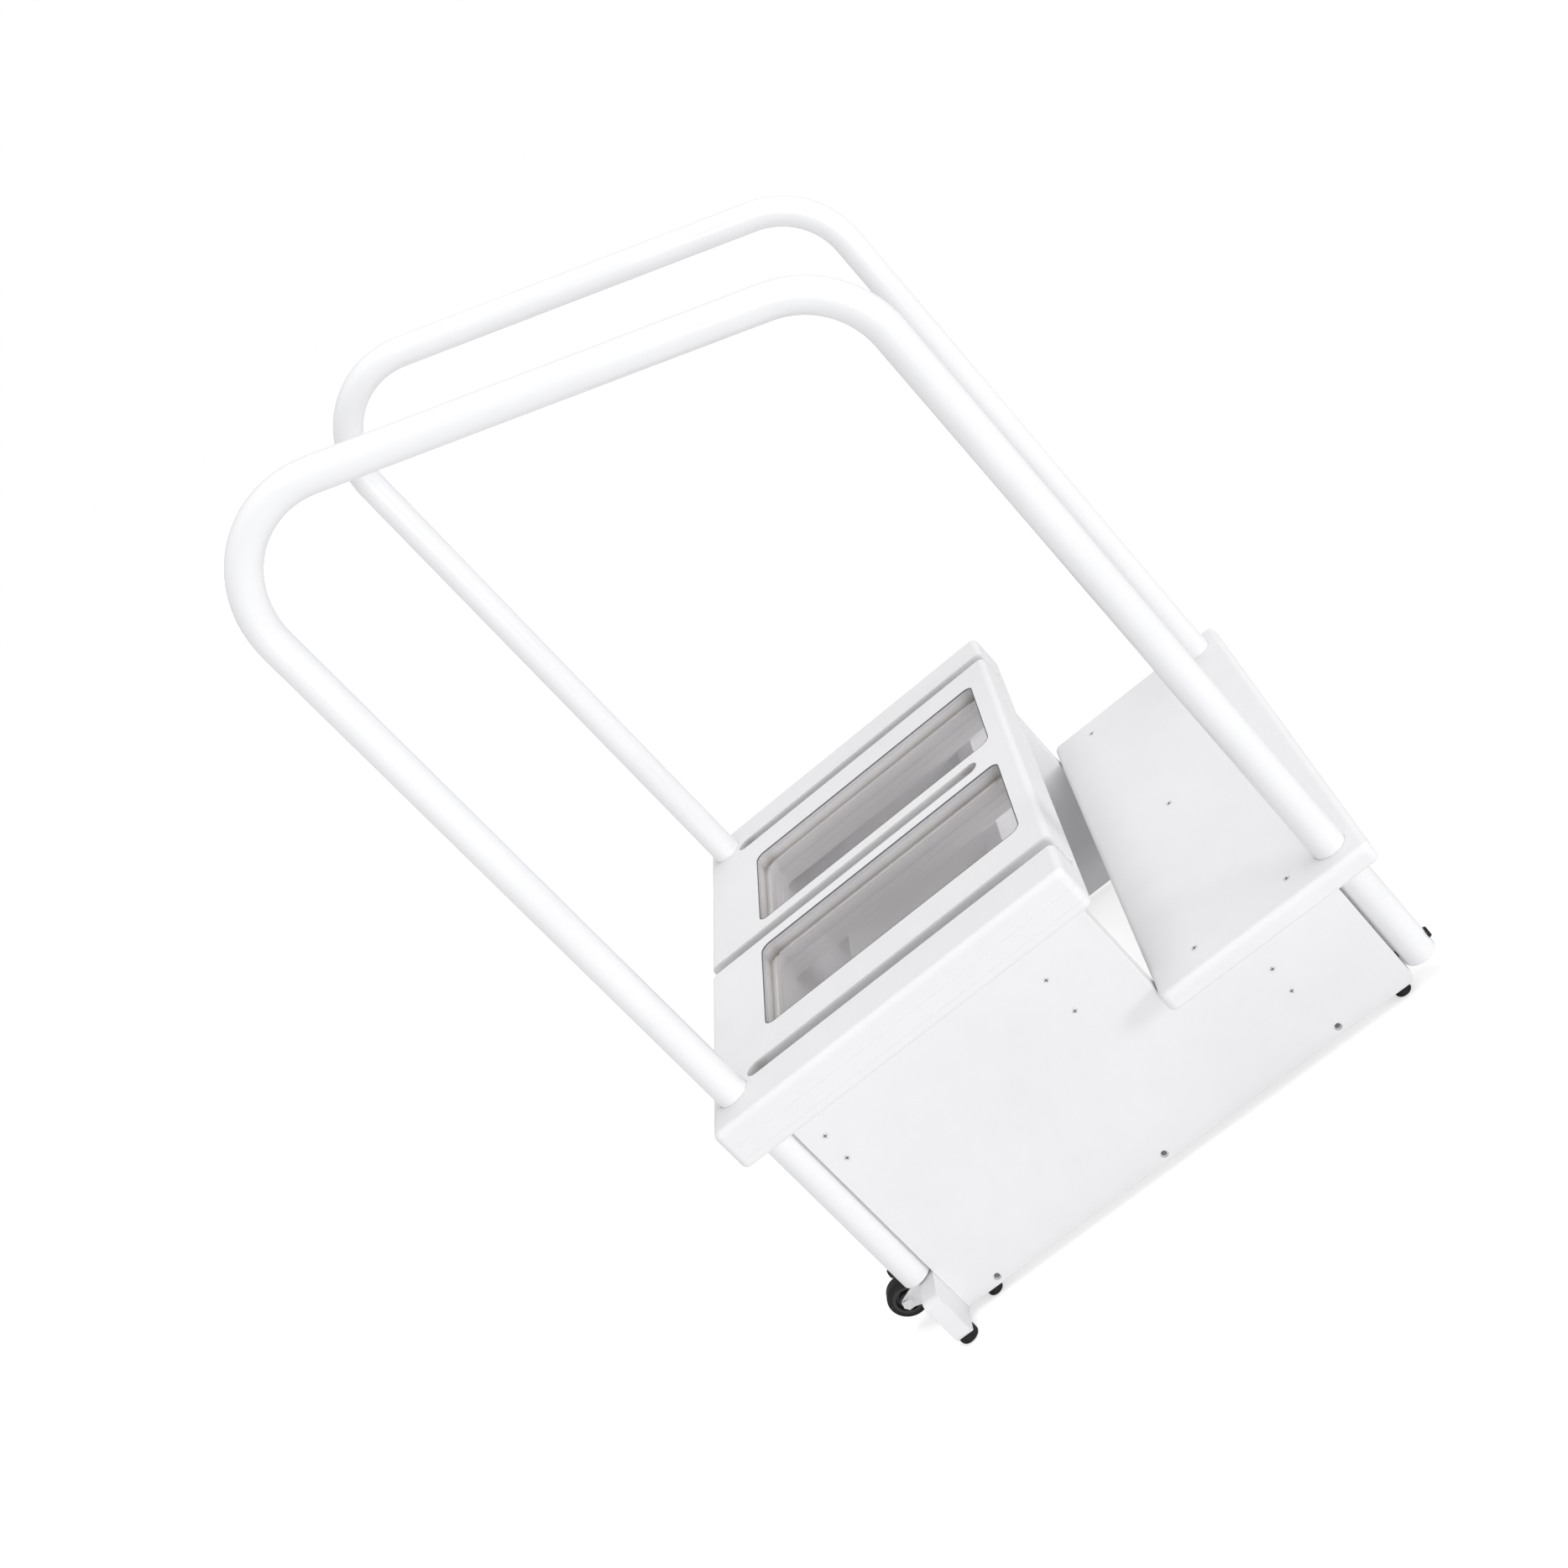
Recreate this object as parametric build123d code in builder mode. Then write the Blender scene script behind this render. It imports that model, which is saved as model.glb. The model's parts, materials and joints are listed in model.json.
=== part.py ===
from build123d import *
from math import radians, tan
import os

# Mobile two-step standing platform with a pair of bent-tube handrails.
# Millimetres, +Z up; the steps face -Y and the casters are at the rear, +Y.
# The origin is on the floor, at the middle of the width and of the length.

os.makedirs("parts", exist_ok=True)

# ---------------------------------------------------------------- driving dimensions
DECK_TOP = 406.4                 # two risers of 8 in
TREAD_TOP = DECK_TOP / 2
BOARD = 25.4                     # thickness of every main board
MIDDLE_LAYER = 19.05             # the deck is made of three layers
BOTTOM_LAYER = 12.7

DECK_HALF_WIDTH = 381.0
DECK_REAR_Y = 363.0
DECK_FRONT_Y = -132.0
TREAD_HALF_WIDTH = 367.0
TREAD_FRONT_Y = -395.0
RISER_Y = -111.0                 # front edge of the upper part of a side panel

PANEL_OUTER_X = 335.0
PANEL_BOTTOM = 12.0              # rubber feet fill the gap to the floor

TUBE_RADIUS = 20.0
TUBE_WALL = 2.0
TUBE_BEND = 114.0                # centreline bend radius
REAR_LEG_Y = 330.0
FRONT_LEG_Y = -358.0
RAIL_SLOPE = 20.3                # degrees the top rail falls towards the front
REAR_CORNER_Z = 1286.0           # where the rear leg and top rail centrelines would meet
REAR_LEG_END = 80.0
FRONT_LEG_END = 28.0

SLOT_WIDTH = 25.4
OUTER_SLOT_X = 302.8
OUTER_SLOT_REAR_Y = 309.0
MIDDLE_SLOT_FRONT_Y = -76.0

WINDOW_INNER_X = 34.5
WINDOW_WIDTH = 198.0
WINDOW_REAR_Y = 279.0
WINDOW_LENGTH = 382.0
WINDOW_CORNER = 14.0
WINDOW_LEDGE = 8.0
PLATE_THICKNESS = 19.05
PLATE_GAP = 0.3
PLATE_BEVEL = 1.1

CASTER_X = 290.0
WHEEL_RADIUS = 25.4
WHEEL_WIDTH = 20.0
AXLE_Y = -TREAD_FRONT_Y - WHEEL_RADIUS
AXLE_Z = 45.0

# ---------------------------------------------------------------- derived dimensions
DECK_LENGTH = DECK_REAR_Y - DECK_FRONT_Y
DECK_MID_Y = (DECK_REAR_Y + DECK_FRONT_Y) / 2
TOP_BOARD_Z = DECK_TOP - BOARD
MIDDLE_BOARD_Z = TOP_BOARD_Z - MIDDLE_LAYER
DECK_BOTTOM = MIDDLE_BOARD_Z - BOTTOM_LAYER
TREAD_BOTTOM = TREAD_TOP - BOARD
PANEL_INNER_X = PANEL_OUTER_X - BOARD
LEG_X = PANEL_OUTER_X - BOARD / 2         # the legs stand in line with the side panels
LEG_GAP = 1.0
LEG_HOLE_GAP = 0.4
PANEL_REAR_Y = REAR_LEG_Y - TUBE_RADIUS - LEG_GAP
PANEL_FRONT_Y = FRONT_LEG_Y + TUBE_RADIUS + LEG_GAP
FRONT_CORNER_Z = REAR_CORNER_Z - (REAR_LEG_Y - FRONT_LEG_Y) * tan(radians(RAIL_SLOPE))
LEG_HOLE_RADIUS = TUBE_RADIUS + LEG_HOLE_GAP
WINDOW_X = WINDOW_INNER_X + WINDOW_WIDTH / 2
WINDOW_Y = WINDOW_REAR_Y - WINDOW_LENGTH / 2
OPENING_WIDTH = WINDOW_WIDTH - 2 * WINDOW_LEDGE
OPENING_LENGTH = WINDOW_LENGTH - 2 * WINDOW_LEDGE
OPENING_CORNER = WINDOW_CORNER - WINDOW_LEDGE / 2
SIDES = {"left": -1, "right": 1}
BOTH = tuple(SIDES.values())

BOARD_CORNER = 10.0
TOP_ROUND = 8.0
UNDER_ROUND = 6.0
EDGE_BREAK = 1.2
THROUGH = 2.5 * DECK_TOP          # a cut this long passes through every board
SEAM = 0.5                       # small bevel that shows each joint between the deck's layers

# ---------------------------------------------------------------- cross rails and cleats
# Each cross rail: its middle in Y, its top, its height and the heights of its end screws.
# The front one hangs lower than the deck, clear of the view through the windows.
RAILS = {
    "rear_cross_rail": (WINDOW_REAR_Y - WINDOW_LEDGE + BOARD / 2, DECK_BOTTOM, 134.0, (301.5, 263.0)),
    "front_cross_rail": (-27.0, 314.0, 102.0, (288.5, 237.0)),
    "tread_cross_rail": (-223.5, TREAD_BOTTOM, 100.0, (131.0, 94.5)),
}
TREAD_RAIL_Y = RAILS["tread_cross_rail"][0]
CLEAT = 20.0
CLEAT_REAR_Y = 267.0
CLEAT_FRONT_Y = -12.0
CLEAT_SIDE_SCREW_Y = (220.0, 30.0)
CLEAT_DECK_SCREW_Y = (185.0, 65.0)

# ---------------------------------------------------------------- fasteners
SCREW_RADIUS = 2.4
SCREW_HEAD_RADIUS = 4.6
SINK_ANGLE = 82
SCREW_HEAD_HEIGHT = (SCREW_HEAD_RADIUS - SCREW_RADIUS) / tan(radians(SINK_ANGLE / 2))
RECESS_LENGTH = 5.0
RECESS_WIDTH = 1.1
RECESS_DEPTH = 1.8
PANEL_SCREW_LENGTH = 62.0
TREAD_SCREW_LENGTH = 55.0
REAR_BOARD_SCREW_LENGTH = 50.0
CLEAT_SIDE_SCREW_LENGTH = 38.0
CLEAT_DECK_SCREW_LENGTH = 30.0
TREAD_SCREW_Y = (-172.5, -300.0)
REAR_BOARD_SCREW_Z = (32.0, 60.0)

SMALL_RADIUS = 2.0               # pan-head screws of the feet and casters
SMALL_HEAD_RADIUS = 3.8
SMALL_HEAD_HEIGHT = 2.2
SMALL_RECESS_DEPTH = 1.2
FOOT_SCREW_LENGTH = 22.0
CASTER_SCREW_LENGTH = 18.0

LEG_BOLT_RADIUS = 4.0
LEG_BOLT_GRIP = 38.0             # how far a leg bolt reaches into the panel's edge
LEG_BOLT_LENGTH = 2 * TUBE_RADIUS + LEG_GAP + LEG_BOLT_GRIP
LEG_BOLT_HEAD_RADIUS = 7.2
LEG_BOLT_HEAD_HEIGHT = 3.2
LEG_BOLT_HEAD_TAPER = 24         # degrees the button head narrows
LEG_BOLT_KEY = 2.6               # corner radius of the hexagon socket
LEG_BOLT_KEY_DEPTH = 2.0
REAR_BOLT_Z = 102.0
FRONT_BOLT_Z = 45.0

INSERT_RADIUS = 5.0
INSERT_BORE = 3.4                # tapping size of an M8 thread
INSERT_SINK = 1.5                # how far inside the panel's faces an insert ends
INSERT_LENGTH = BOARD - 2 * INSERT_SINK
INSERT_Z = 23.0
INSERT_Y = (257.0, 10.5, -236.0)

PLUG_RIM = 3.0
PLUG_DEPTH = 8.0
PLUG_ROUND = 2.0

# ---------------------------------------------------------------- feet and rear board
PANEL_FOOT_RADIUS = 10.0
PANEL_FOOT_Y = (273.0, -317.0)
REAR_BOARD_THICKNESS = 22.0
REAR_BOARD_BOTTOM = 11.0
REAR_BOARD_TOP = 78.0
REAR_BOARD_Y = PANEL_REAR_Y + REAR_BOARD_THICKNESS / 2
REAR_BOARD_REAR_Y = PANEL_REAR_Y + REAR_BOARD_THICKNESS
REAR_BOARD_CORNER = 8.0
REAR_FOOT_X = 366.0
REAR_FOOT_RADIUS = 12.5
FOOT_SINK_RADIUS = 5.0           # the pocket that hides a foot's screw head
FOOT_SINK_DEPTH = 5.0
FOOT_ROUND = 1 / 3               # share of a foot's height that is rounded

# ---------------------------------------------------------------- casters
FORK_SHEET = 2.5
FORK_PLATE_WIDTH = 52.0
FORK_PLATE_HEIGHT = 50.0
FORK_PLATE_CORNER = 5.0
FORK_INNER = 23.0                # clear width between the fork's two cheeks
FORK_EYE_RADIUS = 8.0
FORK_ROOT_HEIGHT = 44.0
AXLE_RADIUS = 4.0
AXLE_HEAD_RADIUS = 6.5
AXLE_HEAD_HEIGHT = 4.5
AXLE_TAIL = 2.0                  # how far the bolt comes out of its nut
SLEEVE_RADIUS = 6.0
RUNNING_GAP = 0.05
HUB_RADIUS = 18.5
HUB_RIM = 3.5
HUB_BOSS_RADIUS = 10.0
HUB_DISH_DEPTH = 5.0
HUB_DRAFT = 1.0                  # how far the walls of the dish lean
TYRE_ROUND = 4.0
CASTER_SCREW_X = 20.5
CASTER_SCREW_Z = 18.0

UP = (Align.CENTER, Align.CENTER, Align.MIN)
DOWN = (Align.CENTER, Align.CENTER, Align.MAX)


def save(piece, name):
    piece.part.label = name
    export_step(piece.part, f"parts/{name}.step")


# ---------------------------------------------------------------- where the fasteners sit
# Each plane lies on the face a fastener is driven into and looks out of it.
def facing_side(x, y, z, sign):
    return Plane(origin=(x, y, z), x_dir=(0, 1, 0), z_dir=(sign, 0, 0))


def facing_up(x, y, z):
    return Plane(origin=(x, y, z), x_dir=(1, 0, 0), z_dir=(0, 0, 1))


def facing_down(x, y, z):
    return Plane(origin=(x, y, z), x_dir=(1, 0, 0), z_dir=(0, 0, -1))


def facing_rear(x, y, z):
    return Plane(origin=(x, y, z), x_dir=(-1, 0, 0), z_dir=(0, 1, 0))


def facing_front(x, y, z):
    return Plane(origin=(x, y, z), x_dir=(1, 0, 0), z_dir=(0, -1, 0))


def panel_screws(sign):
    return [
        facing_side(sign * PANEL_OUTER_X, y, z, sign)
        for y, _, _, heights in RAILS.values()
        for z in heights
    ]


def panel_inserts(sign):
    return [facing_side(sign * PANEL_OUTER_X, y, INSERT_Z, sign) for y in INSERT_Y]


def tread_side_screws(sign):
    return [facing_up(sign * LEG_X, y, TREAD_TOP) for y in TREAD_SCREW_Y]


def rear_board_screws(sign):
    return [facing_rear(sign * LEG_X, REAR_BOARD_REAR_Y, z) for z in REAR_BOARD_SCREW_Z]


def cleat_side_screws(sign):
    x = sign * (PANEL_INNER_X - CLEAT)
    return [facing_side(x, y, DECK_BOTTOM - CLEAT / 2, -sign) for y in CLEAT_SIDE_SCREW_Y]


def cleat_deck_screws(sign):
    x = sign * (PANEL_INNER_X - CLEAT / 2)
    return [facing_down(x, y, DECK_BOTTOM - CLEAT) for y in CLEAT_DECK_SCREW_Y]


def leg_bolts(sign):
    return [
        facing_rear(sign * LEG_X, REAR_LEG_Y + TUBE_RADIUS, REAR_BOLT_Z),
        facing_front(sign * LEG_X, FRONT_LEG_Y - TUBE_RADIUS, FRONT_BOLT_Z),
    ]


def panel_feet(sign):
    return [facing_down(sign * LEG_X, y, PANEL_BOTTOM) for y in PANEL_FOOT_Y]


def rear_feet(sign):
    return [facing_down(sign * REAR_FOOT_X, REAR_BOARD_Y, REAR_BOARD_BOTTOM)]


def caster_screws(sign):
    return [
        facing_rear(sign * CASTER_X + dx, REAR_BOARD_REAR_Y + FORK_SHEET, AXLE_Z + dz)
        for dx in (-CASTER_SCREW_X, CASTER_SCREW_X)
        for dz in (-CASTER_SCREW_Z, CASTER_SCREW_Z)
    ]


def both_sides(positions):
    return [plane for sign in BOTH for plane in positions(sign)]


def drill(planes, radius, depth):
    """Plain holes, cut from the open builder."""
    with Locations(*planes):
        Cylinder(radius, depth, align=DOWN, mode=Mode.SUBTRACT)


def countersink(planes, depth):
    with Locations(*planes):
        CounterSinkHole(SCREW_RADIUS, SCREW_HEAD_RADIUS, depth, SINK_ANGLE)


# ---------------------------------------------------------------- deck
def leg_holes(leg_y):
    """Round holes for the two handrail legs at this distance from the middle."""
    with Locations(*[(sign * LEG_X, leg_y) for sign in BOTH]):
        Cylinder(LEG_HOLE_RADIUS, THROUGH, mode=Mode.SUBTRACT)


def window_outlines(width, length, corner, z):
    with BuildSketch(Plane.XY.offset(z)) as outlines:
        with Locations(*[(sign * WINDOW_X, WINDOW_Y) for sign in BOTH]):
            RectangleRounded(width, length, corner)
    return outlines.sketch


def slot_outlines(z):
    """Two outer slots that run out of the front and one that runs out of the rear."""
    past_edge = 2 * SLOT_WIDTH
    spans = [(sign * OUTER_SLOT_X, DECK_FRONT_Y - past_edge, OUTER_SLOT_REAR_Y) for sign in BOTH]
    spans.append((0.0, MIDDLE_SLOT_FRONT_Y, DECK_REAR_Y + past_edge))
    with BuildSketch(Plane.XY.offset(z)) as outlines:
        for x, front, rear in spans:
            with Locations((x, (front + rear) / 2)):
                SlotOverall(rear - front, SLOT_WIDTH, rotation=90)
    return outlines.sketch


def deck_outline(z):
    with BuildSketch(Plane.XY.offset(z)) as outline:
        with Locations((0, DECK_MID_Y)):
            RectangleRounded(2 * DECK_HALF_WIDTH, DECK_LENGTH, BOARD_CORNER)
    return outline.sketch


def deck_top_board():
    ledge_z = DECK_TOP - PLATE_THICKNESS
    seat = window_outlines(WINDOW_WIDTH, WINDOW_LENGTH, WINDOW_CORNER, ledge_z)
    opening = window_outlines(OPENING_WIDTH, OPENING_LENGTH, OPENING_CORNER, TOP_BOARD_Z)
    with BuildPart() as board:
        extrude(deck_outline(TOP_BOARD_Z), amount=BOARD)
        fillet(edges().group_by(Axis.Z)[-1], TOP_ROUND)
        extrude(seat, amount=PLATE_THICKNESS, mode=Mode.SUBTRACT)
        extrude(opening, amount=BOARD, mode=Mode.SUBTRACT)
        extrude(slot_outlines(TOP_BOARD_Z), amount=BOARD, mode=Mode.SUBTRACT)
        chamfer(edges().group_by(Axis.Z)[0], SEAM)
        leg_holes(REAR_LEG_Y)
    save(board, "deck_top_board")


def deck_middle_board():
    opening = window_outlines(OPENING_WIDTH, OPENING_LENGTH, OPENING_CORNER, MIDDLE_BOARD_Z)
    with BuildPart() as board:
        extrude(deck_outline(MIDDLE_BOARD_Z), amount=MIDDLE_LAYER)
        extrude(opening, amount=MIDDLE_LAYER, mode=Mode.SUBTRACT)
        extrude(slot_outlines(MIDDLE_BOARD_Z), amount=MIDDLE_LAYER, mode=Mode.SUBTRACT)
        chamfer(edges().group_by(Axis.Z)[0] + edges().group_by(Axis.Z)[-1], SEAM)
        leg_holes(REAR_LEG_Y)
    save(board, "deck_middle_board")


def deck_bottom_board():
    opening = window_outlines(OPENING_WIDTH, OPENING_LENGTH, OPENING_CORNER, DECK_BOTTOM)
    with BuildPart() as board:
        extrude(deck_outline(DECK_BOTTOM), amount=BOTTOM_LAYER)
        fillet(edges().group_by(Axis.Z)[0], UNDER_ROUND)
        extrude(opening, amount=BOTTOM_LAYER, mode=Mode.SUBTRACT)
        chamfer(edges().group_by(Axis.Z)[-1], SEAM)
        leg_holes(REAR_LEG_Y)
        drill(both_sides(cleat_deck_screws), SCREW_RADIUS, CLEAT_DECK_SCREW_LENGTH)
    save(board, "deck_bottom_board")


def window_plates():
    """Thick clear plates that stand flush in the two windows."""
    width = WINDOW_WIDTH - 2 * PLATE_GAP
    length = WINDOW_LENGTH - 2 * PLATE_GAP
    for side, sign in SIDES.items():
        with BuildPart() as plate:
            with BuildSketch(Plane.XY.offset(DECK_TOP - PLATE_THICKNESS)):
                with Locations((sign * WINDOW_X, WINDOW_Y)):
                    RectangleRounded(width, length, WINDOW_CORNER - PLATE_GAP)
            extrude(amount=PLATE_THICKNESS)
            chamfer(edges().group_by(Axis.Z)[-1], PLATE_BEVEL)
        save(plate, f"window_plate_{side}")


# ---------------------------------------------------------------- side panels and rails
def side_panels():
    """L-shaped boards: high under the deck, low under the tread."""
    for side, sign in SIDES.items():
        start_x = min(sign * PANEL_OUTER_X, sign * PANEL_INNER_X)
        with BuildPart() as panel:
            with BuildSketch(Plane.YZ.offset(start_x)):
                with BuildLine():
                    Polyline(
                        (PANEL_REAR_Y, PANEL_BOTTOM),
                        (PANEL_FRONT_Y, PANEL_BOTTOM),
                        (PANEL_FRONT_Y, TREAD_BOTTOM),
                        (RISER_Y, TREAD_BOTTOM),
                        (RISER_Y, DECK_BOTTOM),
                        (PANEL_REAR_Y, DECK_BOTTOM),
                        close=True,
                    )
                make_face()
                low_front_corner = vertices().group_by(Axis.X)[0].sort_by(Axis.Y)[0]
                fillet(low_front_corner, BOARD_CORNER)
            extrude(amount=BOARD)
            fillet(faces().sort_by(Axis.X)[0].edges(), EDGE_BREAK)
            fillet(faces().sort_by(Axis.X)[-1].edges(), EDGE_BREAK)
            countersink(panel_screws(sign), PANEL_SCREW_LENGTH)
            drill(panel_inserts(sign), INSERT_RADIUS, BOARD)
            drill(tread_side_screws(sign), SCREW_RADIUS, TREAD_SCREW_LENGTH)
            drill(rear_board_screws(sign), SCREW_RADIUS, REAR_BOARD_SCREW_LENGTH)
            drill(cleat_side_screws(sign), SCREW_RADIUS, CLEAT_SIDE_SCREW_LENGTH)
            drill(leg_bolts(sign), LEG_BOLT_RADIUS, LEG_BOLT_LENGTH)
            drill(foot_screw_planes(), SMALL_RADIUS, FOOT_SCREW_LENGTH)
        save(panel, f"side_panel_{side}")


def cross_rails():
    """Boards on edge between the side panels, two under the deck and one under the tread."""
    for name, (y, top, height, _) in RAILS.items():
        with BuildPart() as rail:
            with Locations((0, y, top)):
                Box(2 * PANEL_INNER_X, BOARD, height, align=DOWN)
            fillet(edges().filter_by(Axis.X), EDGE_BREAK)
            drill(both_sides(panel_screws), SCREW_RADIUS, PANEL_SCREW_LENGTH)
            drill([facing_up(0, TREAD_RAIL_Y, TREAD_TOP)], SCREW_RADIUS, TREAD_SCREW_LENGTH)
        save(rail, name)


def deck_cleats():
    """Battens in the upper corners that hold the deck down on the side panels."""
    length = CLEAT_REAR_Y - CLEAT_FRONT_Y
    middle_y = (CLEAT_REAR_Y + CLEAT_FRONT_Y) / 2
    for side, sign in SIDES.items():
        with BuildPart() as cleat:
            with Locations((sign * (PANEL_INNER_X - CLEAT / 2), middle_y, DECK_BOTTOM)):
                Box(CLEAT, length, CLEAT, align=DOWN)
            countersink(cleat_side_screws(sign) + cleat_deck_screws(sign), CLEAT)
        save(cleat, f"deck_cleat_{side}")


# ---------------------------------------------------------------- tread
def tread_screws():
    return both_sides(tread_side_screws) + [facing_up(0, TREAD_RAIL_Y, TREAD_TOP)]


def tread_board():
    length = RISER_Y - LEG_GAP - TREAD_FRONT_Y
    with BuildPart() as tread:
        with BuildSketch(Plane.XY.offset(TREAD_BOTTOM)):
            with Locations((0, TREAD_FRONT_Y + length / 2)):
                RectangleRounded(2 * TREAD_HALF_WIDTH, length, BOARD_CORNER)
        extrude(amount=BOARD)
        fillet(edges().group_by(Axis.Z)[-1], TOP_ROUND)
        fillet(edges().group_by(Axis.Z)[0], UNDER_ROUND)
        leg_holes(FRONT_LEG_Y)
        countersink(tread_screws(), BOARD)
    save(tread, "tread_board")


# ---------------------------------------------------------------- handrails
def handrails():
    """On each side one bent tube: rear leg, sloping top rail, front leg."""
    for side, sign in SIDES.items():
        x = sign * LEG_X
        with BuildPart() as rail:
            with BuildLine() as path:
                FilletPolyline(
                    (x, REAR_LEG_Y, REAR_LEG_END + PLUG_RIM),
                    (x, REAR_LEG_Y, REAR_CORNER_Z),
                    (x, FRONT_LEG_Y, FRONT_CORNER_Z),
                    (x, FRONT_LEG_Y, FRONT_LEG_END + PLUG_RIM),
                    radius=TUBE_BEND,
                )
            with BuildSketch(Plane(origin=path.line @ 0, z_dir=path.line % 0)):
                Circle(TUBE_RADIUS)
                Circle(TUBE_RADIUS - TUBE_WALL, mode=Mode.SUBTRACT)
            sweep()
            drill(leg_bolts(sign), LEG_BOLT_RADIUS, 3 * TUBE_RADIUS)
        save(rail, f"handrail_{side}")


def tube_end_plugs():
    """Caps pressed into the open lower ends of the tubes."""
    ends = [(REAR_LEG_Y, REAR_LEG_END), (FRONT_LEG_Y, FRONT_LEG_END)]
    with BuildPart() as plugs:
        with Locations(*[(sign * LEG_X, y, z) for sign in BOTH for y, z in ends]):
            Cylinder(TUBE_RADIUS, PLUG_RIM, align=UP)
            Cylinder(TUBE_RADIUS - TUBE_WALL, PLUG_RIM + PLUG_DEPTH, align=UP)
        for _, z in ends:
            fillet(edges().filter_by_position(Axis.Z, z - PLUG_ROUND, z + PLUG_ROUND), PLUG_ROUND)
    save(plugs, "tube_end_plugs")


def handrail_bolts():
    """Button-head bolts through the lower end of each leg into the panel's edge."""
    with BuildPart() as bolts:
        for plane in both_sides(leg_bolts):
            with BuildSketch(plane) as head:
                Circle(LEG_BOLT_HEAD_RADIUS)
            extrude(head.sketch, amount=LEG_BOLT_HEAD_HEIGHT, taper=LEG_BOLT_HEAD_TAPER)
            with BuildSketch(plane.offset(LEG_BOLT_HEAD_HEIGHT)) as socket:
                RegularPolygon(LEG_BOLT_KEY, 6)
            extrude(socket.sketch, amount=-LEG_BOLT_KEY_DEPTH, mode=Mode.SUBTRACT)
        with Locations(*both_sides(leg_bolts)):
            Cylinder(LEG_BOLT_RADIUS, LEG_BOLT_LENGTH, align=DOWN)
    save(bolts, "handrail_bolts")


# ---------------------------------------------------------------- screws and inserts
def countersunk_screws(name, planes, length):
    """Cross-recessed screws whose heads finish flush with the face they sit in."""
    with BuildPart() as screws:
        with Locations(*planes):
            Cylinder(SCREW_RADIUS, length, align=DOWN)
            Cone(SCREW_RADIUS, SCREW_HEAD_RADIUS, SCREW_HEAD_HEIGHT, align=DOWN)
            Box(RECESS_LENGTH, RECESS_WIDTH, RECESS_DEPTH, align=DOWN, mode=Mode.SUBTRACT)
            Box(RECESS_WIDTH, RECESS_LENGTH, RECESS_DEPTH, align=DOWN, mode=Mode.SUBTRACT)
    save(screws, name)


def pan_head_screws(name, planes, length):
    """Small screws whose heads stand on the face they clamp."""
    with BuildPart() as screws:
        with Locations(*planes):
            Cylinder(SMALL_RADIUS, length, align=DOWN)
            Cylinder(SMALL_HEAD_RADIUS, SMALL_HEAD_HEIGHT, align=UP)
        with Locations(*[plane.offset(SMALL_HEAD_HEIGHT) for plane in planes]):
            Box(RECESS_LENGTH, RECESS_WIDTH, SMALL_RECESS_DEPTH, align=DOWN, mode=Mode.SUBTRACT)
            Box(RECESS_WIDTH, RECESS_LENGTH, SMALL_RECESS_DEPTH, align=DOWN, mode=Mode.SUBTRACT)
    save(screws, name)


def threaded_inserts():
    """Sleeves with an internal thread, in holes low through each side panel."""
    with BuildPart() as inserts:
        with Locations(*[plane.offset(-INSERT_SINK) for plane in both_sides(panel_inserts)]):
            Cylinder(INSERT_RADIUS, INSERT_LENGTH, align=DOWN)
            Cylinder(INSERT_BORE, INSERT_LENGTH, align=DOWN, mode=Mode.SUBTRACT)
    save(inserts, "panel_inserts")


# ---------------------------------------------------------------- feet and rear board
def rubber_feet(name, planes, radius, height):
    """Domed feet with a pocket that hides the screw head."""
    with BuildPart() as feet:
        with Locations(*planes):
            Cylinder(radius, height, align=UP)
        fillet(edges().group_by(Axis.Z)[0], height * FOOT_ROUND)
        with Locations(*[plane.offset(height) for plane in planes]):
            Cylinder(FOOT_SINK_RADIUS, FOOT_SINK_DEPTH, align=DOWN, mode=Mode.SUBTRACT)
        drill([plane.offset(height) for plane in planes], SMALL_RADIUS, height)
    save(feet, name)


def foot_screw_planes():
    """The floor of the pocket in every foot."""
    panel_floor = PANEL_BOTTOM - FOOT_SINK_DEPTH
    rear_floor = REAR_BOARD_BOTTOM - FOOT_SINK_DEPTH
    planes = [plane.offset(panel_floor) for plane in both_sides(panel_feet)]
    return planes + [plane.offset(rear_floor) for plane in both_sides(rear_feet)]


def rear_foot_board():
    """A low board behind the side panels that carries two feet and the casters."""
    height = REAR_BOARD_TOP - REAR_BOARD_BOTTOM
    with BuildPart() as board:
        with Locations((0, REAR_BOARD_Y, REAR_BOARD_BOTTOM)):
            Box(2 * DECK_HALF_WIDTH, REAR_BOARD_THICKNESS, height, align=UP)
        fillet(edges().filter_by(Axis.Y), REAR_BOARD_CORNER)
        fillet(faces().sort_by(Axis.Y)[-1].edges(), EDGE_BREAK)
        countersink(both_sides(rear_board_screws), REAR_BOARD_SCREW_LENGTH)
        drill(both_sides(caster_screws), SMALL_RADIUS, CASTER_SCREW_LENGTH)
        drill(foot_screw_planes(), SMALL_RADIUS, FOOT_SCREW_LENGTH)
    save(board, "rear_foot_board")


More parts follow.
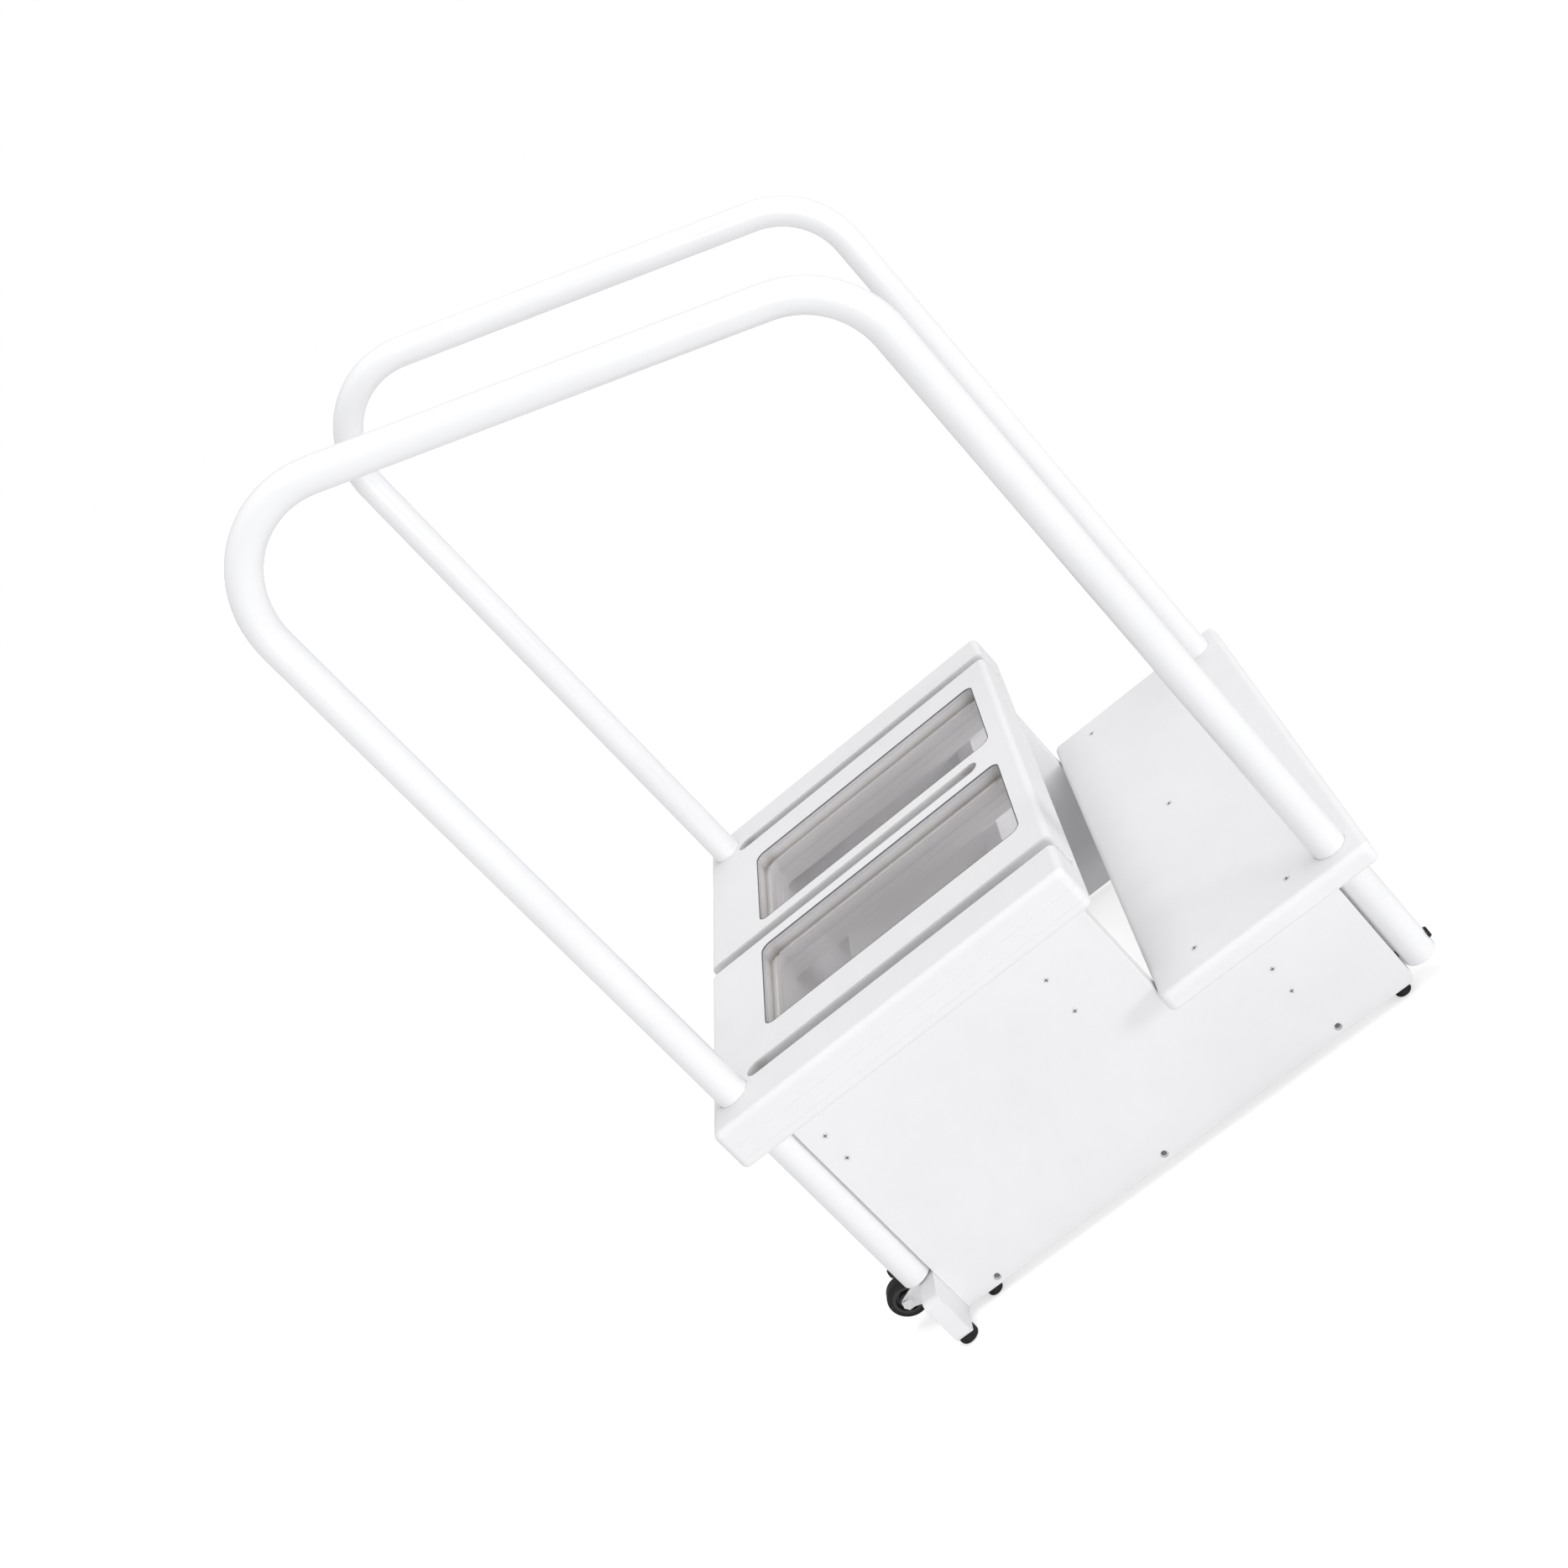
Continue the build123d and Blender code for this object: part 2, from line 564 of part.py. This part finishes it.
# ---------------------------------------------------------------- casters
def caster_forks():
    """A pressed bracket: a plate on the rear board and a tapering cheek each side."""
    plate_y = REAR_BOARD_REAR_Y + FORK_SHEET / 2
    cheek_offset = (FORK_INNER + FORK_SHEET) / 2
    for side, sign in SIDES.items():
        with BuildPart() as fork:
            with Locations((sign * CASTER_X, plate_y, AXLE_Z)):
                Box(FORK_PLATE_WIDTH, FORK_SHEET, FORK_PLATE_HEIGHT)
            fillet(edges().filter_by(Axis.Y), FORK_PLATE_CORNER)
            for offset_x in (-cheek_offset, cheek_offset):
                cheek_x = sign * CASTER_X + offset_x - FORK_SHEET / 2
                with BuildSketch(Plane.YZ.offset(cheek_x)):
                    with Locations((AXLE_Y, AXLE_Z)):
                        Circle(FORK_EYE_RADIUS)
                    with Locations((plate_y, AXLE_Z)):
                        Rectangle(FORK_SHEET, FORK_ROOT_HEIGHT)
                    make_hull()
                extrude(amount=FORK_SHEET)
            with Locations((sign * CASTER_X, AXLE_Y, AXLE_Z)):
                Cylinder(AXLE_RADIUS, 2 * FORK_INNER, rotation=(0, 90, 0), mode=Mode.SUBTRACT)
            drill(caster_screws(sign), SMALL_RADIUS, CASTER_SCREW_LENGTH)
        save(fork, f"caster_fork_{side}")


def caster_axles():
    """A bolt through both cheeks, its head outboard and its nut inboard."""
    cheek_outer = FORK_INNER / 2 + FORK_SHEET
    grip = 2 * cheek_outer + AXLE_HEAD_HEIGHT + AXLE_TAIL
    for side, sign in SIDES.items():
        head_x = sign * (CASTER_X + cheek_outer)
        nut_x = sign * (CASTER_X - cheek_outer)
        with BuildPart() as axle:
            with Locations(facing_side(head_x, AXLE_Y, AXLE_Z, sign)):
                Cylinder(AXLE_RADIUS, grip, align=DOWN)
            for plane in (
                facing_side(head_x, AXLE_Y, AXLE_Z, sign),
                facing_side(nut_x, AXLE_Y, AXLE_Z, -sign),
            ):
                with BuildSketch(plane):
                    RegularPolygon(AXLE_HEAD_RADIUS, 6, major_radius=False)
                extrude(amount=AXLE_HEAD_HEIGHT)
        save(axle, f"caster_axle_{side}")


def ring(outer, inner, width, sign):
    """A tube around a caster's axle, added to the open builder."""
    with Locations((sign * CASTER_X, AXLE_Y, AXLE_Z)):
        Cylinder(outer, width, rotation=(0, 90, 0))
        Cylinder(inner, width, rotation=(0, 90, 0), mode=Mode.SUBTRACT)


def caster_sleeves():
    with BuildPart() as sleeves:
        for sign in BOTH:
            ring(SLEEVE_RADIUS, AXLE_RADIUS, FORK_INNER, sign)
    save(sleeves, "caster_sleeves")


def wheels():
    """A dished hub that runs on the sleeve and a solid rubber tyre around it."""
    bore = SLEEVE_RADIUS + RUNNING_GAP
    half = WHEEL_WIDTH / 2
    web = half - HUB_DISH_DEPTH
    for side, sign in SIDES.items():
        centre = Plane(origin=(sign * CASTER_X, AXLE_Y, AXLE_Z), x_dir=(0, 1, 0), z_dir=(0, 0, 1))
        with BuildPart() as hub:
            with BuildSketch(centre):
                with BuildLine():
                    outline = [
                        (bore, half),
                        (HUB_BOSS_RADIUS, half),
                        (HUB_BOSS_RADIUS + HUB_DRAFT, web),
                        (HUB_RADIUS - HUB_RIM - HUB_DRAFT, web),
                        (HUB_RADIUS - HUB_RIM, half),
                        (HUB_RADIUS, half),
                    ]
                    Polyline(*outline, *[(r, -x) for r, x in reversed(outline)], close=True)
                make_face()
            revolve(axis=Axis((sign * CASTER_X, AXLE_Y, AXLE_Z), (1, 0, 0)))
        save(hub, f"wheel_hub_{side}")
        with BuildPart() as tyre:
            ring(WHEEL_RADIUS, HUB_RADIUS, WHEEL_WIDTH, sign)
            rims = edges().filter_by(GeomType.CIRCLE).sort_by(SortBy.RADIUS)[-2:]
            fillet(rims, TYRE_ROUND)
        save(tyre, f"wheel_tyre_{side}")


# ---------------------------------------------------------------- the whole platform
deck_top_board()
deck_middle_board()
deck_bottom_board()
window_plates()
side_panels()
cross_rails()
deck_cleats()
tread_board()
handrails()
tube_end_plugs()
handrail_bolts()
for side_name, side_sign in SIDES.items():
    countersunk_screws(f"panel_screws_{side_name}", panel_screws(side_sign), PANEL_SCREW_LENGTH)
countersunk_screws("tread_screws", tread_screws(), TREAD_SCREW_LENGTH)
countersunk_screws("rear_board_screws", both_sides(rear_board_screws), REAR_BOARD_SCREW_LENGTH)
countersunk_screws("cleat_side_screws", both_sides(cleat_side_screws), CLEAT_SIDE_SCREW_LENGTH)
countersunk_screws("cleat_deck_screws", both_sides(cleat_deck_screws), CLEAT_DECK_SCREW_LENGTH)
threaded_inserts()
rubber_feet("panel_feet", both_sides(panel_feet), PANEL_FOOT_RADIUS, PANEL_BOTTOM)
rubber_feet("rear_board_feet", both_sides(rear_feet), REAR_FOOT_RADIUS, REAR_BOARD_BOTTOM)
pan_head_screws("foot_screws", foot_screw_planes(), FOOT_SCREW_LENGTH)
rear_foot_board()
caster_forks()
caster_axles()
caster_sleeves()
pan_head_screws("caster_screws", both_sides(caster_screws), CASTER_SCREW_LENGTH)
wheels()
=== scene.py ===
import json
import math

import bpy
from mathutils import Matrix, Vector


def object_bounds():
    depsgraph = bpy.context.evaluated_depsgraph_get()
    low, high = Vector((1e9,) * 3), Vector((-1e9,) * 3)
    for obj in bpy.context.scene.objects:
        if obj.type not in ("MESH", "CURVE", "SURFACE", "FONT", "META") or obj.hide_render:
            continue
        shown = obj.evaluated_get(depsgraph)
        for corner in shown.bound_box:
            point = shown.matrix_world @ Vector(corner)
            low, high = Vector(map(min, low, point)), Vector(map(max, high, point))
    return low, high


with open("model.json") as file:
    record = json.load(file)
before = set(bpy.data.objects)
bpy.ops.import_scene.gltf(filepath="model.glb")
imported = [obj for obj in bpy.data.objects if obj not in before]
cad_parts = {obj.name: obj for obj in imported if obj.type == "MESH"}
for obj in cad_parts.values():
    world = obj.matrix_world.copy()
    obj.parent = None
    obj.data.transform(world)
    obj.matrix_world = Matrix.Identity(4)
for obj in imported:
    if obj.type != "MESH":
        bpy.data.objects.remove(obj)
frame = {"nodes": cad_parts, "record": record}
CAD_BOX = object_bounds()
nodes = frame["nodes"]

# ---------------------------------------------------------------- sizes, in metres
WORN_WIDTH = 0.0015              # how far wear reaches in from a board's edge
BOLT_WORN_WIDTH = 0.0004
RECESS_WIDTH = 0.03              # slots and joints narrower than this get painted shade inside
# how far the painted shade in screw recesses and tight gaps reaches
SCREW_RECESS_WIDTH = 0.002
PLATE_TOP = max(vertex.co.z for vertex in nodes["window_plate_left"].data.vertices)
RIM_DEPTH = 0.002                # dark line round the top of a clear plate's sides
STRIP_DEPTH = 0.007              # lower end of the light strip below that line
HAIR = 0.0001                    # half the width of the change between two bands

# ---------------------------------------------------------------- looks
WORN_AGREEMENT = (0.995, 0.85)   # rounded against flat normal: unworn, then fully worn
RECESS_OPENNESS = (0.82, 0.44)   # ambient occlusion: no painted shade in the open, then full painted shade deep in a recess
LEVEL_FACE = (0.97, 0.98)        # the normal's share along Z: a side, then a level face
NORMAL_SAMPLES = 6
OPENNESS_SAMPLES = 8
ACRYLIC_IOR = 1.49
MOST_GLOSS = 0.10                # the most that a level face of a clear plate reflects
FROSTING = 0.6
FLOOR_RADIUS = 60.0
FLOOR_CORNERS = 96
FLOOR_GLOW = 0.55                # seen by the camera only, it turns the floor white
WHITE = (1, 1, 1, 1)
SKY_STRENGTH = 0.58
SEEN_SKY_STRENGTH = 1.0

# Sockets of the Mix node that carry colours; its float sockets have the same names.
COLOUR_A = 6
COLOUR_B = 7
COLOUR_RESULT = 2


# ---------------------------------------------------------------- node helpers
def new_material(name):
    """An empty node tree with a Principled shader joined to the output."""
    material = bpy.data.materials.new(name)
    material.use_nodes = True
    tree = material.node_tree
    tree.nodes.clear()
    tree.nodes.new("ShaderNodeOutputMaterial")
    shader = tree.nodes.new("ShaderNodeBsdfPrincipled")
    show(tree, shader)
    return material, tree, shader


def show(tree, shader):
    """Joins this shader to the material's output, in place of any other."""
    output = next(node for node in tree.nodes if node.type == "OUTPUT_MATERIAL")
    tree.links.new(shader.outputs[0], output.inputs["Surface"])


def coordinates(tree):
    """Positions in metres: every CAD mesh lies in the row frame, so grain keeps its real size."""
    return tree.nodes.new("ShaderNodeTexCoord").outputs["Object"]


def noise(tree, where, scale, detail=2.0, roughness=0.5, stretch=None):
    """Grain with that many features per metre, from 0 to 1."""
    if stretch:
        mapping = tree.nodes.new("ShaderNodeMapping")
        mapping.inputs["Scale"].default_value = stretch
        tree.links.new(where, mapping.inputs["Vector"])
        where = mapping.outputs["Vector"]
    texture = tree.nodes.new("ShaderNodeTexNoise")
    texture.inputs["Scale"].default_value = scale
    texture.inputs["Detail"].default_value = detail
    texture.inputs["Roughness"].default_value = roughness
    tree.links.new(where, texture.inputs["Vector"])
    return texture.outputs["Fac"]


def ramp(tree, value, low, high, colour_low, colour_high):
    """Turns a value between low and high into a colour between the two given."""
    node = tree.nodes.new("ShaderNodeValToRGB")
    node.color_ramp.elements[0].position = low
    node.color_ramp.elements[1].position = high
    node.color_ramp.elements[0].color = (*colour_low, 1)
    node.color_ramp.elements[1].color = (*colour_high, 1)
    tree.links.new(value, node.inputs["Fac"])
    return node.outputs["Color"]


def spread(tree, value, low, high):
    """The value, from its 0 to 1 range, moved to the range from low to high."""
    node = tree.nodes.new("ShaderNodeMapRange")
    node.inputs["To Min"].default_value = low
    node.inputs["To Max"].default_value = high
    tree.links.new(value, node.inputs["Value"])
    return node.outputs["Result"]


def spread_between(tree, value, low, high):
    """0 where the value is at low, 1 where it is at high, and in between by proportion."""
    node = tree.nodes.new("ShaderNodeMapRange")
    node.inputs["From Min"].default_value = low
    node.inputs["From Max"].default_value = high
    tree.links.new(value, node.inputs["Value"])
    return node.outputs["Result"]


def add(tree, first, second, share):
    """first + share * second."""
    node = tree.nodes.new("ShaderNodeMath")
    node.operation = "MULTIPLY_ADD"
    tree.links.new(second, node.inputs[0])
    node.inputs[1].default_value = share
    tree.links.new(first, node.inputs[2])
    return node.outputs["Value"]


def mix_colours(tree, factor, first, second):
    """The first colour where the factor is 0, the second where it is 1."""
    node = tree.nodes.new("ShaderNodeMix")
    node.data_type = "RGBA"
    tree.links.new(factor, node.inputs["Factor"])
    tree.links.new(first, node.inputs[COLOUR_A])
    tree.links.new(second, node.inputs[COLOUR_B])
    return node.outputs[COLOUR_RESULT]


def mix_shaders(tree, factor, first, second):
    """The factor is a number, or a socket that gives one."""
    node = tree.nodes.new("ShaderNodeMixShader")
    if isinstance(factor, float):
        node.inputs["Fac"].default_value = factor
    else:
        tree.links.new(factor, node.inputs["Fac"])
    tree.links.new(first.outputs[0], node.inputs[1])
    tree.links.new(second.outputs[0], node.inputs[2])
    return node


def camera_sees(tree, lighting, seen):
    """The second shader to the camera, the first to everything else."""
    path = tree.nodes.new("ShaderNodeLightPath")
    return mix_shaders(tree, path.outputs["Is Camera Ray"], lighting, seen)


def diffuse(tree, colour):
    """A plain matt shader of one colour."""
    node = tree.nodes.new("ShaderNodeBsdfDiffuse")
    node.inputs["Color"].default_value = (*colour, 1)
    return node


def bump(tree, shader, height, depth):
    """Relief of this depth in metres."""
    node = tree.nodes.new("ShaderNodeBump")
    node.inputs["Distance"].default_value = depth
    tree.links.new(height, node.inputs["Height"])
    tree.links.new(node.outputs["Normal"], shader.inputs["Normal"])


def worn_edges(tree, width):
    """From 0 on flat faces to 1 on edges, over this distance in metres."""
    rounded = tree.nodes.new("ShaderNodeBevel")
    rounded.samples = NORMAL_SAMPLES
    rounded.inputs["Radius"].default_value = width
    flat = tree.nodes.new("ShaderNodeNewGeometry")
    agreement = tree.nodes.new("ShaderNodeVectorMath")
    agreement.operation = "DOT_PRODUCT"
    tree.links.new(rounded.outputs["Normal"], agreement.inputs[0])
    tree.links.new(flat.outputs["Normal"], agreement.inputs[1])
    return spread_between(tree, agreement.outputs["Value"], *WORN_AGREEMENT)


def recess_shade_mask(tree, width):
    """Mask for painted shade: from 0 in the open to 1 deep in slots and joints narrower than this
    distance in metres.
    """
    openness = tree.nodes.new("ShaderNodeAmbientOcclusion")
    openness.samples = OPENNESS_SAMPLES
    openness.only_local = True
    openness.inputs["Distance"].default_value = width
    return spread_between(tree, openness.outputs["AO"], *RECESS_OPENNESS)


def above(tree, where, height):
    """0 below this height and 1 above it."""
    split = tree.nodes.new("ShaderNodeSeparateXYZ")
    tree.links.new(where, split.inputs[0])
    return spread_between(tree, split.outputs["Z"], height - HAIR, height + HAIR)


def level_face(tree):
    """0 on a wall, 1 on a face that looks straight up or down."""
    split = tree.nodes.new("ShaderNodeSeparateXYZ")
    tree.links.new(tree.nodes.new("ShaderNodeNewGeometry").outputs["Normal"], split.inputs[0])
    size = tree.nodes.new("ShaderNodeMath")
    size.operation = "ABSOLUTE"
    tree.links.new(split.outputs["Z"], size.inputs[0])
    return spread_between(tree, size.outputs["Value"], *LEVEL_FACE)


# ---------------------------------------------------------------- materials
def white_board():
    """Satin white plastic sheet with a fine moulded texture, faint handling marks and painted shade in
    its slots and joints.
    """
    material, tree, shader = new_material("white_board")
    where = coordinates(tree)
    cloud = noise(tree, where, scale=4, detail=3)
    marks = noise(tree, where, scale=26, detail=6, roughness=0.6)
    fine = noise(tree, where, scale=1400)
    tone = add(tree, cloud, marks, share=0.5)
    colour = ramp(tree, tone, 0.4, 1.1, (0.795, 0.788, 0.802), (0.840, 0.834, 0.848))
    clean = ramp(tree, fine, 0.0, 1.0, (0.88, 0.88, 0.88), (0.90, 0.90, 0.90))
    # Painted shade: a darker colour deep in slots and narrow joints, where shade falls.
    board_recess_shade = ramp(tree, marks, 0.0, 1.0, (0.40, 0.38, 0.36), (0.50, 0.48, 0.46))
    outside = mix_colours(tree, worn_edges(tree, WORN_WIDTH), colour, clean)
    recess_shaded = mix_colours(tree, recess_shade_mask(tree, RECESS_WIDTH), outside, board_recess_shade)
    tree.links.new(recess_shaded, shader.inputs["Base Color"])
    tree.links.new(spread(tree, marks, low=0.48, high=0.64), shader.inputs["Roughness"])
    bump(tree, shader, add(tree, fine, marks, share=0.6), depth=0.00003)
    shader.inputs["Specular IOR Level"].default_value = 0.30
    return material


def white_tube():
    """Glossy powder coat with a slight orange peel."""
    material, tree, shader = new_material("white_tube")
    where = coordinates(tree)
    peel = noise(tree, where, scale=450, detail=1)
    ripple = noise(tree, where, scale=60)
    cloud = noise(tree, where, scale=7, detail=3)
    colour = ramp(tree, cloud, 0.3, 0.7, (0.835, 0.838, 0.855), (0.862, 0.865, 0.880))
    tree.links.new(colour, shader.inputs["Base Color"])
    tree.links.new(spread(tree, ripple, low=0.20, high=0.30), shader.inputs["Roughness"])
    bump(tree, shader, peel, depth=0.00001)
    shader.inputs["Coat Weight"].default_value = 0.3
    shader.inputs["Coat Roughness"].default_value = 0.06
    return material


def clear_plate():
    """Clear acrylic whose sides show a dark line at the top, a light strip, then clear again."""
    material, tree, gloss = new_material("clear_plate")
    where = coordinates(tree)
    smears = noise(tree, where, scale=14, detail=4, roughness=0.6)
    gloss.inputs["Base Color"].default_value = (0.92, 0.92, 0.92, 1)
    gloss.inputs["Metallic"].default_value = 1.0
    tree.links.new(spread(tree, smears, low=0.02, high=0.06), gloss.inputs["Roughness"])
    clear = tree.nodes.new("ShaderNodeBsdfTransparent")
    clear.inputs["Color"].default_value = (0.985, 0.98, 0.978, 1)
    reflected = tree.nodes.new("ShaderNodeFresnel")
    reflected.inputs["IOR"].default_value = ACRYLIC_IOR
    shine = spread(tree, reflected.outputs["Fac"], low=0.0, high=MOST_GLOSS)
    face = mix_shaders(tree, shine, clear, gloss)
    frosted = mix_shaders(tree, FROSTING, clear, diffuse(tree, (0.82, 0.83, 0.86)))
    side = mix_shaders(tree, above(tree, where, PLATE_TOP - STRIP_DEPTH), clear, frosted)
    rim = diffuse(tree, (0.16, 0.16, 0.17))
    edge = mix_shaders(tree, above(tree, where, PLATE_TOP - RIM_DEPTH), side, rim)
    show(tree, mix_shaders(tree, level_face(tree), edge, face))
    return material


def black_rubber():
    """Matt rubber, a little dusty."""
    material, tree, shader = new_material("black_rubber")
    where = coordinates(tree)
    dust = noise(tree, where, scale=90, detail=6, roughness=0.65)
    grain = noise(tree, where, scale=1800)
    colour = ramp(tree, dust, 0.35, 0.8, (0.008, 0.008, 0.009), (0.028, 0.027, 0.027))
    tree.links.new(colour, shader.inputs["Base Color"])
    tree.links.new(spread(tree, dust, low=0.45, high=0.75), shader.inputs["Roughness"])
    bump(tree, shader, add(tree, grain, dust, share=0.7), depth=0.00025)
    shader.inputs["Specular IOR Level"].default_value = 0.25
    return material


def black_plastic():
    """Moulded hubs with a fine grain and scuffs."""
    material, tree, shader = new_material("black_plastic")
    where = coordinates(tree)
    grain = noise(tree, where, scale=2200, detail=1)
    scuffs = noise(tree, where, scale=160, detail=5, roughness=0.6)
    colour = ramp(tree, scuffs, 0.3, 0.8, (0.016, 0.016, 0.017), (0.034, 0.034, 0.035))
    tree.links.new(colour, shader.inputs["Base Color"])
    tree.links.new(spread(tree, scuffs, low=0.25, high=0.5), shader.inputs["Roughness"])
    bump(tree, shader, grain, depth=0.00012)
    return material


def black_steel():
    """Black oxide bolts, bare along their edges."""
    material, tree, shader = new_material("black_steel")
    where = coordinates(tree)
    blotch = noise(tree, where, scale=500, detail=4)
    colour = ramp(tree, blotch, 0.3, 0.7, (0.014, 0.014, 0.015), (0.030, 0.029, 0.030))
    bare = ramp(tree, blotch, 0.0, 1.0, (0.16, 0.155, 0.15), (0.24, 0.235, 0.23))
    worn = mix_colours(tree, worn_edges(tree, BOLT_WORN_WIDTH), colour, bare)
    tree.links.new(worn, shader.inputs["Base Color"])
    tree.links.new(spread(tree, blotch, low=0.28, high=0.45), shader.inputs["Roughness"])
    bump(tree, shader, blotch, depth=0.00006)
    shader.inputs["Metallic"].default_value = 0.7
    return material


def zinc_steel():
    """Bright zinc plate with a faint spangle, rolling marks and painted shade in its recesses."""
    material, tree, shader = new_material("zinc_steel")
    where = coordinates(tree)
    spangle = noise(tree, where, scale=260, detail=4, roughness=0.6)
    brushed = noise(tree, where, scale=900, stretch=(1, 1, 0.08))
    colour = ramp(tree, spangle, 0.3, 0.7, (0.80, 0.80, 0.81), (0.90, 0.90, 0.92))
    # Painted shade: a darker colour in screw recesses and tight gaps, where shade falls.
    zinc_recess_shade = ramp(tree, spangle, 0.0, 1.0, (0.10, 0.10, 0.10), (0.22, 0.21, 0.20))
    recess_shaded = mix_colours(tree, recess_shade_mask(tree, SCREW_RECESS_WIDTH), colour, zinc_recess_shade)
    tree.links.new(recess_shaded, shader.inputs["Base Color"])
    streaks = add(tree, spangle, brushed, share=0.6)
    tree.links.new(spread(tree, streaks, low=0.22, high=0.40), shader.inputs["Roughness"])
    bump(tree, shader, brushed, depth=0.00004)
    shader.inputs["Metallic"].default_value = 0.75
    return material


def brass():
    """Turned and slightly tarnished sleeves."""
    material, tree, shader = new_material("brass")
    where = coordinates(tree)
    tarnish = noise(tree, where, scale=380, detail=5, roughness=0.6)
    turned = noise(tree, where, scale=1500, detail=1, stretch=(1, 0.1, 0.1))
    colour = ramp(tree, tarnish, 0.35, 0.7, (0.33, 0.24, 0.10), (0.62, 0.48, 0.22))
    tree.links.new(colour, shader.inputs["Base Color"])
    tree.links.new(spread(tree, tarnish, low=0.25, high=0.5), shader.inputs["Roughness"])
    bump(tree, shader, turned, depth=0.00005)
    shader.inputs["Metallic"].default_value = 1.0
    return material


# Each function above is named after the material slot that it makes.
MATERIALS = {
    maker.__name__: maker()
    for maker in (
        white_board, white_tube, clear_plate, black_rubber, black_plastic, black_steel, zinc_steel, brass
    )
}

for part in frame["record"]["subparts"]:
    piece = nodes[part["node"]]
    piece.data.materials.clear()
    piece.data.materials.append(MATERIALS[part["material_slot"]])


# ---------------------------------------------------------------- floor
def floor_material():
    """Pale and matt, and white to the camera."""
    material, tree, shader = new_material("studio_floor")
    grain = noise(tree, coordinates(tree), scale=3, detail=3)
    colour = ramp(tree, grain, 0.0, 1.0, (0.76, 0.76, 0.76), (0.78, 0.78, 0.78))
    tree.links.new(colour, shader.inputs["Base Color"])
    shader.inputs["Roughness"].default_value = 0.9
    shader.inputs["Specular IOR Level"].default_value = 0.0
    glow = tree.nodes.new("ShaderNodeEmission")
    glow.inputs["Strength"].default_value = FLOOR_GLOW
    glowing = tree.nodes.new("ShaderNodeAddShader")
    tree.links.new(shader.outputs["BSDF"], glowing.inputs[0])
    tree.links.new(glow.outputs["Emission"], glowing.inputs[1])
    show(tree, camera_sees(tree, shader, glowing))
    return material


def floor():
    """A plain floor under the object, far wider than it."""
    bpy.ops.mesh.primitive_circle_add(vertices=FLOOR_CORNERS, radius=FLOOR_RADIUS, fill_type="NGON")
    sheet = bpy.context.object
    sheet.name = "studio_floor"
    sheet.location.z = CAD_BOX[0].z
    sheet.data.materials.append(floor_material())


floor()


# ---------------------------------------------------------------- light
def soft_sun(name, direction, strength, width):
    """Even light from a distant soft source that looks this wide, in degrees."""
    light = bpy.data.lights.new(name, "SUN")
    light.energy = strength
    light.angle = math.radians(width)
    lamp = bpy.data.objects.new(name, light)
    bpy.context.collection.objects.link(lamp)
    lamp.rotation_mode = "QUATERNION"
    lamp.rotation_quaternion = Vector(direction).to_track_quat("Z", "Y")


def white_sky(node, strength):
    """Sets a Background node to white of this strength."""
    node.inputs["Color"].default_value = WHITE
    node.inputs["Strength"].default_value = strength
    return node


def studio_world():
    """White all round: dimmer as light than as the backdrop that the camera sees."""
    world = bpy.data.worlds.new("studio")
    world.use_nodes = True
    tree = world.node_tree
    lighting = white_sky(tree.nodes["Background"], SKY_STRENGTH)
    seen = white_sky(tree.nodes.new("ShaderNodeBackground"), SEEN_SKY_STRENGTH)
    whole = camera_sees(tree, lighting, seen)
    tree.links.new(whole.outputs[0], tree.nodes["World Output"].inputs["Surface"])
    return world


# The side and front light come in low, so the slots and windows stay darker inside.
soft_sun("side_light", (-1.0, -0.15, 0.06), strength=1.00, width=12)
soft_sun("front_light", (-0.45, -0.9, 0.12), strength=0.74, width=14)
soft_sun("top_light", (0.05, -0.12, 1.0), strength=1.34, width=40)
bpy.context.scene.world = studio_world()
bpy.context.scene.view_settings.view_transform = "Standard"

# ---------------------------------------------------------------- camera
# The photograph shows the platform tipped back, so the camera is rolled instead.
CAMERA_AIM = Vector((0.0164, -0.0018, 0.6845))
CAMERA_DISTANCE = 2.5027
CAMERA_AZIMUTH = math.radians(-78.789)
CAMERA_ELEVATION = math.radians(15.533)
CAMERA_ROLL = math.radians(42.689)
CAMERA_SENSOR = 36
CAMERA_LENS = 47.141
CAMERA_SHIFT_Y = -0.0931


def camera():
    """Looks at the aim from its azimuth and elevation, rolled about its own line of sight."""
    lens = bpy.data.cameras.new("camera")
    lens.sensor_width = CAMERA_SENSOR
    lens.lens = CAMERA_LENS
    lens.shift_y = CAMERA_SHIFT_Y
    holder = bpy.data.objects.new("camera", lens)
    bpy.context.collection.objects.link(holder)
    back = Vector((
        math.sin(CAMERA_AZIMUTH) * math.cos(CAMERA_ELEVATION),
        -math.cos(CAMERA_AZIMUTH) * math.cos(CAMERA_ELEVATION),
        math.sin(CAMERA_ELEVATION),
    ))
    level = back.to_track_quat("Z", "Y").to_matrix().to_4x4()
    roll = Matrix.Rotation(-CAMERA_ROLL, 4, "Z")
    holder.matrix_world = Matrix.Translation(CAMERA_AIM + back * CAMERA_DISTANCE) @ level @ roll
    return holder


bpy.context.scene.camera = camera()
